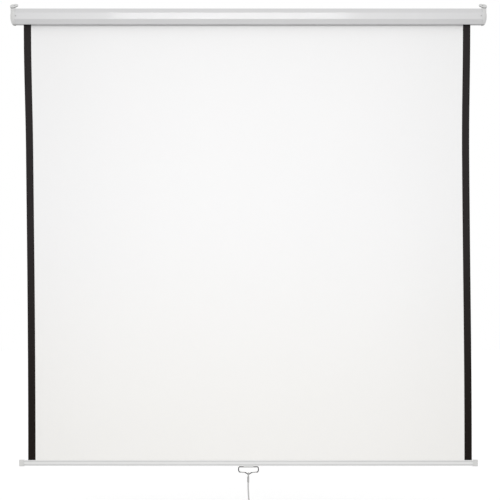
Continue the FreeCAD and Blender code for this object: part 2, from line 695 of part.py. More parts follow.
def weight_bar():
    """Extrusion with a keyhole channel for the hem, a hollow middle, a groove below and two flutes on each face."""
    middle = (BAR_TOP + BAR_BOTTOM) / 2
    outline = rounded_profile(BAR_DEPTH, BAR_HEIGHT, BAR_CORNER, FABRIC_Y, middle)
    bar = across_sheet(outline, -BAR_HALF, BAR_HALF)
    channel = rod(-BAR_HALF, BAR_HALF, HEM_CHANNEL, FABRIC_Y, HEM_Z)
    neck = NECK_WIDTH / 2
    mouth = GROOVE_MOUTH / 2
    head = GROOVE_WIDTH / 2
    groove_top = BAR_BOTTOM + BAR_WALL + GROOVE_HEIGHT
    hollow_half = BAR_DEPTH / 2 - FLUTE_DEPTH - BAR_WALL
    hollow_top = HEM_Z - HEM_CHANNEL - BAR_WALL
    ends = (-BAR_HALF, BAR_HALF)
    flute_out = BAR_DEPTH / 2 + FLUTE_RADIUS - FLUTE_DEPTH
    cuts = [
        channel,
        block(*ends, FABRIC_Y - neck, FABRIC_Y + neck, HEM_Z, BAR_TOP),
        block(*ends, FABRIC_Y - mouth, FABRIC_Y + mouth, BAR_BOTTOM, groove_top),
        block(*ends, FABRIC_Y - head, FABRIC_Y + head, BAR_BOTTOM + BAR_WALL, groove_top),
        block(*ends, FABRIC_Y - hollow_half, FABRIC_Y + hollow_half, groove_top + BAR_WALL, hollow_top),
    ]
    for y in (FABRIC_Y - flute_out, FABRIC_Y + flute_out):
        for z in (BAR_TOP - FLUTE_INSET, BAR_BOTTOM + FLUTE_INSET):
            cuts.append(rod(*ends, FLUTE_RADIUS, y, z))
    return bar.cut(cuts).removeSplitter()


def bar_sleeve():
    """Right-hand end sleeve, pushed over the bar."""
    middle = (BAR_TOP + BAR_BOTTOM) / 2
    end = BAR_HALF + SLEEVE_END
    outside = rounded_profile(
        BAR_DEPTH + 2 * SLEEVE_WALL,
        BAR_HEIGHT + 2 * SLEEVE_WALL,
        BAR_CORNER + SLEEVE_WALL,
        FABRIC_Y,
        middle,
    )
    sleeve = across_sheet(outside, end - SLEEVE_LENGTH, end)
    outer_edges = [
        e for e in sleeve.Edges if all(abs(v.Point.x - end) < SLEEVE_END / 10 for v in e.Vertexes)
    ]
    sleeve = sleeve.makeFillet(SLEEVE_END * 0.75, outer_edges)
    inside = rounded_profile(BAR_DEPTH, BAR_HEIGHT, BAR_CORNER, FABRIC_Y, middle)
    return sleeve.cut(across_sheet(inside, end - SLEEVE_LENGTH, BAR_HALF))


# Handle
def handle_clip():
    """Moulded clip: a T head that slides in the bar's groove, over an eye for the wire."""
    half = CLIP_LENGTH / 2
    bore = WIRE_DIAMETER / 2 + RUNNING_FIT
    eye = rod(-half, half, bore + CLIP_EYE_WALL, FABRIC_Y, HANDLE_Z)
    neck_half = GROOVE_MOUTH / 2 - CLIP_SLIDE_FIT
    head_half = GROOVE_WIDTH / 2 - CLIP_SLIDE_FIT
    head_top = BAR_BOTTOM + BAR_WALL + GROOVE_HEIGHT - CLIP_SLIDE_FIT
    neck = block(-half, half, FABRIC_Y - neck_half, FABRIC_Y + neck_half, HANDLE_Z, head_top)
    head = block(-half, half, FABRIC_Y - head_half, FABRIC_Y + head_half, BAR_BOTTOM + BAR_WALL, head_top)
    return eye.fuse([neck, head]).cut(rod(-half, half, bore, FABRIC_Y, HANDLE_Z)).removeSplitter()


def handle_bail():
    """One length of wire, its two ends meeting inside the clip."""
    half = [
        (WIRE_END_GAP / 2, 0),
        (BAIL_TOP_HALF, 0),
        (BAIL_WIDE_HALF, -BAIL_WIDE_DROP),
        (BAIL_LOW_HALF, -BAIL_LOW_DROP),
        (BAIL_DIP_HALF, -BAIL_DIP_START),
    ]
    dip = [(0, -BAIL_DIP_DROP)]
    outline = half + dip + [(-x, z) for x, z in reversed(half)]
    points = [V(x, FABRIC_Y, HANDLE_Z + z) for x, z in outline]
    bends = list(BAIL_BENDS)
    return tube_along(bent_wire(points, bends + [BAIL_DIP_BEND] + bends[::-1]), WIRE_DIAMETER)


def dip_point():
    """The middle of the wire at the bottom of the handle's dip."""
    slope = math.atan2(BAIL_DIP_DROP - BAIL_DIP_START, BAIL_DIP_HALF)
    lift = BAIL_DIP_BEND * (1 / math.cos(slope) - 1)
    return V(0, FABRIC_Y, HANDLE_Z - BAIL_DIP_DROP + lift)


# Cord
def barrel(top, length, radius, neck):
    """A knot as a barrel that swells from the cord's own width."""
    middle = top - V(0, 0, length / 2)
    bottom = top - V(0, 0, length)
    out = V(neck, 0, 0)
    edges = [
        line(top, top + out),
        Part.Arc(top + out, middle + V(radius, 0, 0), bottom + out).toShape(),
        line(bottom + out, bottom),
        line(bottom, top),
    ]
    return turned(edges, top, V(0, 0, 1))


def cord_point(x, z):
    return dip_point() + V(x, 0, z)


def cord_hitch():
    """The cord's turn round the wire and the knot that closes it."""
    dip = dip_point()
    loop = WIRE_DIAMETER / 2 + HITCH_GAP + CORD_DIAMETER / 2
    ring = Part.makeTorus(loop, CORD_DIAMETER / 2, dip, V(1, 0, 0))
    start = cord_point(*CORD_ROUTE[0])
    knot = barrel(start + V(0, 0, HITCH_LENGTH), HITCH_LENGTH, HITCH_RADIUS, CORD_DIAMETER / 2)
    return ring.fuse(knot).removeSplitter()


def pull_cord():
    points = [cord_point(x, z) for x, z in CORD_ROUTE]
    radii = []
    for before, corner, after in zip(points, points[1:], points[2:]):
        half_turn = (corner - before).getAngle(after - corner) / 2
        shorter = min((corner - before).Length, (after - corner).Length)
        radii.append(CORD_BEND_SHARE * shorter / math.tan(half_turn))
    path = bent_wire(points, radii)
    cord = tube_along(path, CORD_DIAMETER)
    expected = math.pi * CORD_DIAMETER**2 / 4 * path.Length
    print("cord: bend radii", [round(r) for r in radii], "mm, length", round(path.Length, 1), "mm")
    print("cord: volume over section times length", round(cord.Volume / expected, 4))
    return cord


def cord_end_knot():
    end = cord_point(*CORD_ROUTE[-1])
    return barrel(end, END_KNOT_LENGTH, END_KNOT_RADIUS, CORD_DIAMETER / 2)


def parts():
    white_half = FABRIC_HALF - BORDER_WIDTH
    sleeve = bar_sleeve()
    socket = mirrored(tongue(-BOSS_FACE - TONGUE_LENGTH, -BOSS_FACE, TONGUE_CLEARANCE))
    return {
        "case": case_shell(),
        "left_end_cap": mirrored(end_cap(socket)),
        "right_end_cap": end_cap(bush_seat()),
        "end_cap_screws": Part.makeCompound([cap_screw(seat, way) for seat, way in screw_seats()]),
        "idler_bush": idler_bush(),
        "spring_spindle": spring_spindle(),
        "spring_collar": spring_collar(),
        "torsion_spring": torsion_spring(),
        "ratchet_wheel": ratchet_wheel(),
        "spindle_clip": spindle_clip(),
        "screen_sheet": sheet_panel(-white_half, white_half),
        "left_border": sheet_panel(-FABRIC_HALF, -white_half),
        "right_border": sheet_panel(white_half, FABRIC_HALF),
        "roller_tube": roller_tube(),
        "sheet_wrap": sheet_wrap(),
        "idler_plug": roller_plug(PIN_DIAMETER / 2),
        "idler_pin": idler_pin(),
        "ratchet_plug": ratchet_plug(),
        "pawl_pin": pawl_pin(),
        "spring_plug": spring_plug(),
        "ratchet_pawl": ratchet_pawl(),
        "weight_bar": weight_bar(),
        "left_bar_sleeve": mirrored(sleeve),
        "right_bar_sleeve": sleeve,
        "sheet_hem": fabric_hem(),
        "hem_rod": hem_rod(),
        "handle_clip": handle_clip(),
        "handle_bail": handle_bail(),
        "cord_hitch": cord_hitch(),
        "pull_cord": pull_cord(),
        "cord_end_knot": cord_end_knot(),
    }


os.makedirs("parts", exist_ok=True)
for name, shape in parts().items():
    shape.exportStep("parts/" + name + ".step")
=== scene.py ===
import json
import math

import bmesh
import bpy
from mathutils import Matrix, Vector


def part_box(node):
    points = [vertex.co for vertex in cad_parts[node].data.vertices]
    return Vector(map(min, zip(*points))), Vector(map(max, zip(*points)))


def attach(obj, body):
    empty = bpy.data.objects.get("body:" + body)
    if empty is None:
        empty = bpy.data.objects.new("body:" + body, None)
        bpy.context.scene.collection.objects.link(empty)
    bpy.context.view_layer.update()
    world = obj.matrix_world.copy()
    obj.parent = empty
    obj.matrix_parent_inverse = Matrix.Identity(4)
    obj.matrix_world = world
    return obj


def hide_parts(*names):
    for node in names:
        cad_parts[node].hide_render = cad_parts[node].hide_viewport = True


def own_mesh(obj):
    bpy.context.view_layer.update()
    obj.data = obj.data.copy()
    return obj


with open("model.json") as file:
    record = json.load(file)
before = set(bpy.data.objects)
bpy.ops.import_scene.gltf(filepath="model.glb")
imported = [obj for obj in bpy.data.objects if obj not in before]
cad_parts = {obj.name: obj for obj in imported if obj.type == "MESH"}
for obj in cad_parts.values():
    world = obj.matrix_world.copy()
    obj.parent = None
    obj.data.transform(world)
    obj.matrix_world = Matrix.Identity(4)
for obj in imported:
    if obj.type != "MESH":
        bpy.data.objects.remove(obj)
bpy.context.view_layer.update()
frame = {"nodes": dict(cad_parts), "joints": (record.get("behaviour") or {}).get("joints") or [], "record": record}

nodes = frame["nodes"]


# Case. An eight-sided channel, roll-formed from thin steel strip and stove enamelled off-white
# in one coat, so the surface has a faint orange peel. It hangs by the caps that plug its ends.
class Tone:
    """A socket in a finish's node tree. Sums on it add Math nodes, and add() any other node."""

    def __init__(self, tree, socket=None):
        self.tree = tree
        self.socket = socket

    def add(self, kind, settings=None, sockets=None, output=0):
        node = self.tree.nodes.new("ShaderNode" + kind)
        for name, value in (settings or {}).items():
            setattr(node, name, value)
        for name, value in (sockets or {}).items():
            if isinstance(value, Tone):
                self.tree.links.new(value.socket, node.inputs[name])
            else:
                node.inputs[name].default_value = value
        return Tone(self.tree, node.outputs[output] if node.outputs else None)

    def maths(self, operation, first, second=0.0):
        return self.add("Math", {"operation": operation}, {0: first, 1: second})

    def __add__(self, other):
        return self.maths("ADD", self, other)

    def __sub__(self, other):
        return self.maths("SUBTRACT", self, other)

    def __rsub__(self, other):
        return self.maths("SUBTRACT", other, self)

    def __mul__(self, other):
        return self.maths("MULTIPLY", self, other)

    def __abs__(self):
        return self.maths("ABSOLUTE", self)

    __radd__ = __add__
    __rmul__ = __mul__

    def sine(self):
        return self.maths("SINE", self)

    def between(self, low, high):
        """Nought up to low, one from high on, and smooth between them."""
        sockets = {"Value": self, "From Min": low, "From Max": high}
        return self.add("MapRange", {"interpolation_type": "SMOOTHSTEP"}, sockets)

    def band(self, rise, fall):
        """One between two edges. Each edge is a pair: where the change starts and where it ends."""
        return self.between(*rise) * (1 - self.between(*fall))

    def mix(self, first, second):
        return self.add("Mix", {"data_type": "RGBA"}, {0: self, 6: first, 7: second}, 2)

    def noise(self, scale, detail=2.0, roughness=0.5):
        sockets = {"Vector": self, "Scale": scale, "Detail": detail, "Roughness": roughness}
        return self.add("TexNoise", None, sockets)

    def parts(self):
        split = self.add("SeparateXYZ", None, {"Vector": self})
        return [Tone(self.tree, socket) for socket in split.socket.node.outputs]

    def stretched(self, x, y, z):
        return self.add("Mapping", None, {"Vector": self, "Scale": (x, y, z)})

    def bump(self, strength, distance):
        return self.add("Bump", None, {"Height": self, "Strength": strength, "Distance": distance})


def new_finish(name):
    """An empty material, and its Object coordinates to build on."""
    material = bpy.data.materials.new(name)
    material.use_nodes = True
    material.node_tree.nodes.clear()
    return material, Tone(material.node_tree).add("TexCoord", output="Object")


def close_finish(place, sockets):
    """The surface of a finish, from its values and links."""
    shader = place.add("BsdfPrincipled", None, sockets)
    place.add("OutputMaterial", None, {"Surface": shader})


def shade(colour, share):
    """A colour dimmed to a share of itself."""
    return tuple(channel * share for channel in colour[:3]) + (1.0,)


def dress(material, *names):
    """The CAD nodes keep their meshes and take this finish."""
    for name in names:
        nodes[name].data.materials.clear()
        nodes[name].data.materials.append(material)


def enamel(name, colour, painted_shade):
    """Satin enamel with clouds and specks of dust; its mask is one where painted shade greys it."""
    material, place = new_finish(name)
    cloud = place.noise(7.0, 4.0)
    dust = place.noise(55.0, 5.0, 0.65).between(0.62, 0.8)
    peel = place.noise(700.0, 1.0)
    coat = (cloud * 0.6 + dust * 0.4).mix(colour, shade(colour, 0.955))
    sockets = {
        # Painted shade: the enamel is greyed where the mask is one.
        "Base Color": painted_shade(place).mix(coat, shade(colour, 0.76)),
        "Roughness": 0.34 + 0.05 * cloud + 0.12 * dust,
        "Normal": peel.bump(0.12, 0.0002),
        "Coat Weight": 0.15,
        "Coat Roughness": 0.06,
    }
    close_finish(place, sockets)
    return material


CASE_WHITE = (0.69, 0.69, 0.695, 1.0)
CASE_SHADE_FULL = 0.0004
CASE_SHADE_END = 0.0022
case_low, case_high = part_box("case")


def case_underside_shade(place):
    """One on the underside of the case and its bends, where painted shade darkens the enamel."""
    return 1 - place.parts()[2].between(case_low.z + CASE_SHADE_FULL, case_low.z + CASE_SHADE_END)


# The underside of the case is darkened with painted shade.
dress(enamel("case_enamel", CASE_WHITE, case_underside_shade), "case")


# End caps. Injection moulded in light grey plastic, fine spark-eroded grain, with the hanging
# eye in one piece with the dome. Each plugs into the case and is held by two screws.
def moulding(name, colour, roughness, grain, painted_shade=None):
    """Moulded plastic with flow lines, sink marks and a fine grain.
    A mask, if given, is one where painted shade darkens it.
    """
    material, place = new_finish(name)
    cloud = place.noise(18.0, 3.0)
    flow = place.stretched(1.0, 1.0, 0.2).noise(60.0, 2.0)
    spark = place.noise(grain, 2.0, 0.6)
    sink = place.noise(45.0, 1.0)
    clean = (cloud * 0.6 + flow * 0.2 + spark * 0.2).mix(shade(colour, 0.94), colour)
    sockets = {
        # Painted shade darkens the plastic where the mask is one.
        "Base Color": painted_shade(place).mix(clean, shade(colour, 0.3)) if painted_shade else clean,
        "Roughness": roughness + 0.16 * spark,
        "Normal": (spark * 0.4 + sink * 0.6).bump(0.4, 0.0006),
    }
    close_finish(place, sockets)
    return material


CAP_GREY = (0.72, 0.72, 0.715, 1.0)
TAB_FACES = (-0.0024, -0.0016), (0.0004, 0.0022)
TAB_DOWNHILL = -0.0045, -0.0010
TAB_ROOT = 0.0010
DOME_SHADE_FULL = 0.0010
DOME_SHADE_END = 0.0065
DOME_SHADE = 0.7
cap_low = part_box("left_end_cap")[0]
eye = next(mount for mount in frame["record"]["mounts"] if mount["name"] == "hanger_eye_left")
eye_place = Vector(eye["pos_m"])
eye_axis = Vector(eye["axis"])


def cap_painted_shade(place):
    """Painted shade: strong on the lower rim of the tab, between its two faces, and fainter under the dome."""
    _, y, z = place.parts()
    off_y, off_z = y - eye_place.y, z - eye_place.z
    level = off_y * eye_axis.y + off_z * eye_axis.z
    uphill = off_y * eye_axis.z - off_z * eye_axis.y
    above_dome = z.between(-cap_low.z - TAB_ROOT, -cap_low.z + TAB_ROOT)
    low_rim = level.band(*TAB_FACES) * (1 - uphill.between(*TAB_DOWNHILL)) * above_dome
    under_dome = 1 - z.between(cap_low.z + DOME_SHADE_FULL, cap_low.z + DOME_SHADE_END)
    return DOME_SHADE * under_dome + low_rim


# Painted shade under each dome and along the lower rim of each tab.
cap_plastic = moulding("cap_plastic", CAP_GREY, 0.38, 800.0, cap_painted_shade)
dress(cap_plastic, "left_end_cap", "right_end_cap")


# Cap screws. Zinc plated pan heads with a cross recess, driven through the case into each cap.
# The bottom of the recess is painted darker than the crown, a painted shade, and its finish is duller.
def plated(name, colour, roughness, grain, painted_shade=None, painted_highlight=None):
    """Metal with a drawn grain. An optional mask darkens it with painted shade and dulls it there;
    an optional pair, a mask and a lighter colour, lays on a painted highlight.
    """
    material, place = new_finish(name)
    drawn = place.stretched(0.03, 1.0, 1.0).noise(grain, 3.0, 0.6)
    patch = place.noise(120.0, 3.0)
    streak = patch * 0.5 + drawn * 0.5
    surface = streak.mix(shade(colour, 0.82), colour)
    if painted_highlight:
        lit_mask, lit_colour = painted_highlight
        # Painted highlight: where the mask is one the metal takes the lighter colour.
        surface = lit_mask(place).mix(surface, streak.mix(shade(lit_colour, 0.82), lit_colour))
    shade_and_dull = painted_shade(place) if painted_shade else 0.0
    sockets = {
        # Painted shade where the mask is one; the same mask also dulls the metal.
        "Base Color": shade_and_dull.mix(surface, shade(colour, 0.3)) if painted_shade else surface,
        "Metallic": 1.0 - 0.9 * shade_and_dull,
        "Roughness": roughness + 0.14 * patch + 0.3 * shade_and_dull,
        "Normal": drawn.bump(0.15, 0.0001),
    }
    close_finish(place, sockets)
    return material


ZINC = (0.68, 0.68, 0.67, 1.0)
HEAD_RADIUS = 0.0030
RECESS_REACH = 0.0019
RECESS_EDGE = 0.9 * RECESS_REACH**2, 1.1 * RECESS_REACH**2
RECESS_SUNK = (0.0005, 0.0009), (0.0012, 0.0013)
screw_low, screw_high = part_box("end_cap_screws")
screw_x = screw_high.x - HEAD_RADIUS
case_y = (case_low.y + case_high.y) / 2


def recess_shade(place):
    """Painted shade: one at the bottom of the cross in the front heads and the top heads, nought elsewhere."""
    x, y, z = place.parts()
    off_x = abs(x) - screw_x

    def in_cross(depth, off):
        return (1 - (off_x * off_x + off * off).between(*RECESS_EDGE)) * depth.band(*RECESS_SUNK)

    return in_cross(y - screw_low.y, z) + in_cross(screw_high.z - z, y - case_y)


dress(plated("screw_zinc", ZINC, 0.26, 1800.0, painted_shade=recess_shade), "end_cap_screws")


# Roller tube, pins and spindle. Drawn or turned steel, zinc plated, so the surface is bright with
# a fine lengthwise grain and cloudy patches. They carry the sheet and the spring inside the case.
drawn_zinc = plated("drawn_zinc", ZINC, 0.26, 1800.0)
dress(drawn_zinc, "roller_tube", "idler_pin", "spring_spindle", "pawl_pin", "spindle_clip")


# Roller plugs, bush and hem rod. Natural nylon, moulded and left as it comes from the tool. The
# plugs press into the roller tube, the bush into the right cap's boss, and the rod fills the hem.
NYLON = (0.8, 0.78, 0.7, 1.0)
natural_nylon = moulding("natural_nylon", NYLON, 0.42, 900.0)
dress(natural_nylon, "idler_plug", "idler_bush", "ratchet_plug", "spring_plug", "hem_rod")


# Spring motor and ratchet. Oil-tempered wire on a pressed steel collar, with the notched wheel
# and its pawl; all of it works inside the left end of the roller.
SPRING_STEEL = (0.33, 0.33, 0.35, 1.0)
STRIP_STEEL = (0.46, 0.46, 0.47, 1.0)
dress(plated("oiled_spring_wire", SPRING_STEEL, 0.34, 2600.0), "torsion_spring")
pressed_steel = plated("pressed_steel", STRIP_STEEL, 0.36, 1500.0)
dress(pressed_steel, "ratchet_wheel", "ratchet_pawl", "spring_collar")


# Screen sheet. Woven glass cloth coated matt white in front and black behind, with a black band
# down each side. Its last turns stay on the roller, and its foot is sewn into a hem. It hangs a
# little askew, stretched by the bar, and its sides draw in and curl back.
THREAD_PITCH = 0.0011


def weave(place):
    """Warp and weft of the cloth, as they press through its coating: one on each thread's crown."""
    x, _, z = place.parts()
    wave = 2 * math.pi / THREAD_PITCH
    return 0.5 + 0.5 * (x * wave).sine() * (z * wave).sine()


FOOT_SHARE_TOP = -0.70
FOOT_SHARE_BOTTOM = -1.80


def foot_share(place):
    """One at the foot of the sheet, nought high up: the white turns warmer and the black loses its painted sheen.
    """
    return 1 - place.parts()[2].between(FOOT_SHARE_BOTTOM, FOOT_SHARE_TOP)


WHITE_COAT = (0.956, 0.954, 0.954, 1.0)
CREAM_COAT = (0.966, 0.956, 0.933, 1.0)
SHEEN_BLACK = (0.0290, 0.0245, 0.0248, 1.0)
DEEP_BLACK = (0.0108, 0.0070, 0.0050, 1.0)
SIDE_SHADE_START = 0.5
SIDE_SHADE_END = 0.87


def matt_white(name):
    """White coating that turns cream towards the foot, with painted shade towards the sides."""
    material, place = new_finish(name)
    cloud = place.noise(2.2, 3.0)
    coat = place.noise(2400.0, 2.0, 0.6)
    threads = weave(place)
    side_shade = abs(place.parts()[0]).between(SIDE_SHADE_START, SIDE_SHADE_END)
    # Painted shade towards the sides: the mix leans to the dimmer white there.
    grain = 0.5 * cloud + 0.5 * threads - 0.4 * side_shade
    plain = grain.mix(shade(WHITE_COAT, 0.966), WHITE_COAT)
    warmer = grain.mix(shade(CREAM_COAT, 0.966), CREAM_COAT)
    sockets = {
        "Base Color": foot_share(place).mix(plain, warmer),
        "Roughness": 0.82 + 0.1 * coat,
        "Specular IOR Level": 0.2,
        "Normal": (coat * 0.4 + threads * 0.6).bump(0.3, 0.0002),
    }
    close_finish(place, sockets)
    return material


def matt_black(name):
    """Black coating, lighter high up, a painted sheen, and deeper towards the foot."""
    material, place = new_finish(name)
    cloud = place.noise(6.0, 4.0)
    coat = place.noise(2000.0, 2.0, 0.6)
    threads = weave(place)
    grain = 0.5 * cloud + 0.5 * threads
    sheened = grain.mix(shade(SHEEN_BLACK, 0.48), SHEEN_BLACK)
    deep = grain.mix(shade(DEEP_BLACK, 0.48), DEEP_BLACK)
    sockets = {
        # Painted sheen: the black is lighter high up and deepens towards the foot.
        "Base Color": foot_share(place).mix(sheened, deep),
        "Roughness": 0.5 + 0.16 * cloud + 0.08 * coat,
        "Specular IOR Level": 0.1,
        "Normal": (coat * 0.4 + threads * 0.6).bump(0.3, 0.0002),
    }
    close_finish(place, sockets)
    return material


SHEET_COLUMNS = 60
SHEET_ROWS = 60
SHEET_THICKNESS = 0.0004
TUCK = 0.0006
coats = matt_white("sheet_white"), matt_black("sheet_black")
white_low, white_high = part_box("screen_sheet")
bar_low, bar_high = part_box("weight_bar")
sheet_low = bar_high.z - TUCK
sheet_drop = white_high.z - sheet_low
sheet_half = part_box("right_border")[1].x
sheet_y = (white_low.y + white_high.y) / 2


def blacken_bands(cloth):
    """The coats of the front: white, with black outside the white panel's width."""
    for face in cloth.faces:
        face.material_index = 1 if abs(face.calc_center_median().x) > white_high.x else 0


def flat_cloth(rows):
    """A banded grid as wide as the sheet. Its y goes from nought at one end to one at the other."""
    cloth = bmesh.new()
    bmesh.ops.create_grid(cloth, x_segments=SHEET_COLUMNS, y_segments=rows, size=1.0)
    bmesh.ops.translate(cloth, verts=cloth.verts, vec=(0, 1, 0))
    bmesh.ops.scale(cloth, verts=cloth.verts, vec=(sheet_half, 0.5, 1))
    blacken_bands(cloth)
    return cloth


SQUARE_ON = 0.5


def thicken(cloth, looks_back):
    """Gives a front its thickness, black back and edges; looks_back is one on a face of the back."""
    front = list(cloth.faces)
    bmesh.ops.recalc_face_normals(cloth, faces=front)
    cloth.normal_update()
    if looks_back(front[0]) > 0:
        bmesh.ops.reverse_faces(cloth, faces=front)
    bmesh.ops.solidify(cloth, geom=front, thickness=SHEET_THICKNESS)
    cloth.normal_update()
    for face in cloth.faces:
        face.smooth = abs(looks_back(face)) > SQUARE_ON
        if looks_back(face) > -SQUARE_ON:
            face.material_index = 1
    for edge in cloth.edges:
        edge.smooth = all(face.smooth for face in edge.link_faces)


def cloth_piece(name, cloth, body, *stands_for):
    """The piece that this mesh makes, with both coats, on its body and in place of its CAD nodes."""
    mesh = bpy.data.meshes.new(name)
    cloth.to_mesh(mesh)
    cloth.free()
    for coat in coats:
        mesh.materials.append(coat)
    piece = bpy.data.objects.new(name, mesh)
    bpy.context.scene.collection.objects.link(piece)
    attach(piece, body)
    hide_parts(*stands_for)
    return piece


DRAW_IN = 0.0060
DRAW_IN_REACH = 0.3
LEAN = 0.0060


def hung_x(x, drop):
    """Where a thread at x on the flat sheet hangs; drop is nought at the case and one at the bar."""
    narrowing = DRAW_IN * math.sin(math.pi / 2 * min(drop / DRAW_IN_REACH, 1)) ** 2
    return x - LEAN * math.cos(math.pi * drop) - narrowing * x / sheet_half


CURL = 0.006
CURL_REACH = 0.14
BULGE = 0.0012
BULGE_RISE = 0.85
RIPPLE = 0.0012
RIPPLE_ACROSS = 7.3
RIPPLE_START = 1.1
RIPPLE_DOWN = 4.1
hanging = flat_cloth(SHEET_ROWS)
for vert in hanging.verts:
    x = vert.co.x
    z = sheet_low + vert.co.y * sheet_drop
    drop = min(max((case_low.z - z) / (case_low.z - sheet_low), 0), 1)
    slack = math.sin(math.pi * drop**BULGE_RISE) ** 2
    edge = max(0, 1 - (sheet_half - abs(x)) / CURL_REACH)
    ripple = RIPPLE * math.sin(RIPPLE_ACROSS * x + RIPPLE_START) * math.sin(RIPPLE_DOWN * z)
    back = slack * (CURL * edge * edge + BULGE + ripple)
    vert.co = Vector((hung_x(x, drop), sheet_y + back, z))
thicken(hanging, lambda face: face.normal.y)
sheet = cloth_piece("hanging_sheet", hanging, "housing", "screen_sheet", "left_border", "right_border")

MERGE = 0.00001
hem = bmesh.new()
hem.from_mesh(nodes["sheet_hem"].data)
bmesh.ops.remove_doubles(hem, verts=hem.verts, dist=MERGE)
for band_x in (-white_high.x, white_high.x):
    whole = hem.verts[:] + hem.edges[:] + hem.faces[:]
    bmesh.ops.bisect_plane(hem, geom=whole, plane_co=(band_x, 0, 0), plane_no=(1, 0, 0))
blacken_bands(hem)
for vert in hem.verts:
    vert.co.x = hung_x(vert.co.x, 1)
foot = cloth_piece("sheet_foot", hem, "bar", "sheet_hem")

WRAP_TURNS = 2
WRAP_STEPS = 48
WRAP_PITCH = 0.0005
WRAP_SLACK = 0.000225
tube_low, tube_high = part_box("roller_tube")
roller_axis = (tube_low + tube_high) / 2
wrap_start = (tube_high.z - tube_low.z) / 2 + WRAP_SLACK


def from_roller(face):
    """How far a face of the wound turns looks away from the roller: one is straight out."""
    out = face.calc_center_median() - roller_axis
    out.x = 0
    return face.normal.dot(out.normalized())


wrap = flat_cloth(WRAP_STEPS)
for vert in wrap.verts:
    turn = vert.co.y * WRAP_TURNS
    out = Vector((0, math.cos(2 * math.pi * turn), -math.sin(2 * math.pi * turn)))
    centre = Vector((vert.co.x, roller_axis.y, roller_axis.z))
    vert.co = centre + out * (wrap_start + WRAP_PITCH * turn)
thicken(wrap, from_roller)
stored = cloth_piece("stored_turns", wrap, "roller", "sheet_wrap")

joints = {joint["name"]: joint for joint in frame["joints"]}
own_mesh(sheet)


# Weight bar. Aluminium extrusion, enamelled like the case, that keeps the sheet taut. The hem of
# the sheet is threaded into its upper channel round a rod.
BAR_WHITE = (0.82, 0.82, 0.815, 1.0)
FLUTE_INSET = 0.0053
FLUTE_EDGE = 0.00112, 0.00140
FLUTE_SUNK = (0.00013, 0.00104), (0.00143, 0.00156)


def flute_shade(place):
    """Painted shade: one at the bottom of the two flutes on each face."""
    _, y, z = place.parts()
    front, rear = y - bar_low.y, bar_high.y - y

    def in_flutes(height):
        within = 1 - abs(z - height).between(*FLUTE_EDGE)
        return within * front.band(*FLUTE_SUNK) + within * rear.band(*FLUTE_SUNK)

    return in_flutes(bar_high.z - FLUTE_INSET) + in_flutes(bar_low.z + FLUTE_INSET)


# The flutes carry painted shade.
dress(enamel("bar_enamel", BAR_WHITE, flute_shade), "weight_bar")


# Bar sleeves and handle clip. Light grey mouldings: the sleeves push over the ends of the bar,
# and the clip slides in the groove underneath and holds the handle.
SLEEVE_GREY = (0.72, 0.72, 0.71, 1.0)
sleeve_plastic = moulding("sleeve_plastic", SLEEVE_GREY, 0.4, 1200.0)
dress(sleeve_plastic, "left_bar_sleeve", "right_bar_sleeve", "handle_clip")


# Handle. One length of plated steel wire, bent to a flat loop with a dip in the middle of its lower
# side for the cord; its ends meet inside the clip. Its dark colour is a painted dark reflection, and
# its lower runs are painted lighter, a painted highlight.
# The dark colour is a painted dark reflection; the lighter one is a painted highlight.
WIRE_SHADED = (0.022, 0.019, 0.017, 1.0)
WIRE_LIT = (0.36, 0.355, 0.35, 1.0)
LOW_RUN = (0.011, 0.019), (0.029, 0.037)
HIGHLIGHT_FADE = 0.008
HIGHLIGHT_FULL = 1.3
HIGHLIGHT_BROKEN = 0.5
handle_low, handle_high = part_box("handle_bail")
handle_middle = (handle_low.z + handle_high.z) / 2


def lit_low_runs(place):
    """Painted highlight: one on the two lower runs beside the dip, broken up by patches."""
    x, _, z = place.parts()
    below = 1 - z.between(handle_middle - HIGHLIGHT_FADE, handle_middle)
    return HIGHLIGHT_FULL * (abs(x).band(*LOW_RUN) * below) - HIGHLIGHT_BROKEN * place.noise(380.0, 3.0, 0.6)


dress(plated("handle_wire", WIRE_SHADED, 0.26, 2200.0, painted_highlight=(lit_low_runs, WIRE_LIT)), "handle_bail")


# Cord. Light grey braid, tied round the dip of the handle with a wound hitch, hanging freely to
# a stopper knot at its lower end. Each piece is a tube on its own smooth line.
CORD_GREY = (0.56, 0.56, 0.555, 1.0)
STRANDS_AROUND = 4


def braid(name, lays):
    """Two sets of strands that cross, along the tube's own UV map, with this many lays in its length."""
    material, place = new_finish(name)
    along, around, _ = place.add("TexCoord", output="UV").parts()
    run = 2 * math.pi * lays
    crown = 2 * math.pi * STRANDS_AROUND
    first = (along * run + around * crown).sine()
    second = (along * run - around * crown).sine()
    strands = place.maths("MAXIMUM", first, second)
    fuzz = place.noise(1500.0, 3.0, 0.7)
    sockets = {
        "Base Color": strands.between(-0.2, 0.9).mix(shade(CORD_GREY, 0.84), CORD_GREY),
        "Roughness": 0.78 + 0.12 * fuzz,
        "Normal": (strands + 0.5 * fuzz).bump(0.5, 0.0004),
    }
    close_finish(place, sockets)
    return material


def smooth_line(name, points, radius, finish):
    """A tube on one open spline with these control points."""
    curve = bpy.data.curves.new(name, "CURVE")
    curve.dimensions = "3D"
    curve.bevel_depth = radius
    curve.bevel_resolution = 5
    curve.resolution_u = 10
    curve.use_fill_caps = True
    curve.materials.append(finish)
    spline = curve.splines.new("NURBS")
    spline.points.add(len(points) - 1)
    for point, place in zip(spline.points, points):
        point.co = (*place, 1.0)
    spline.order_u = 3
    spline.use_endpoint_u = True
    line = bpy.data.objects.new(name, curve)
    bpy.context.scene.collection.objects.link(line)
    return line


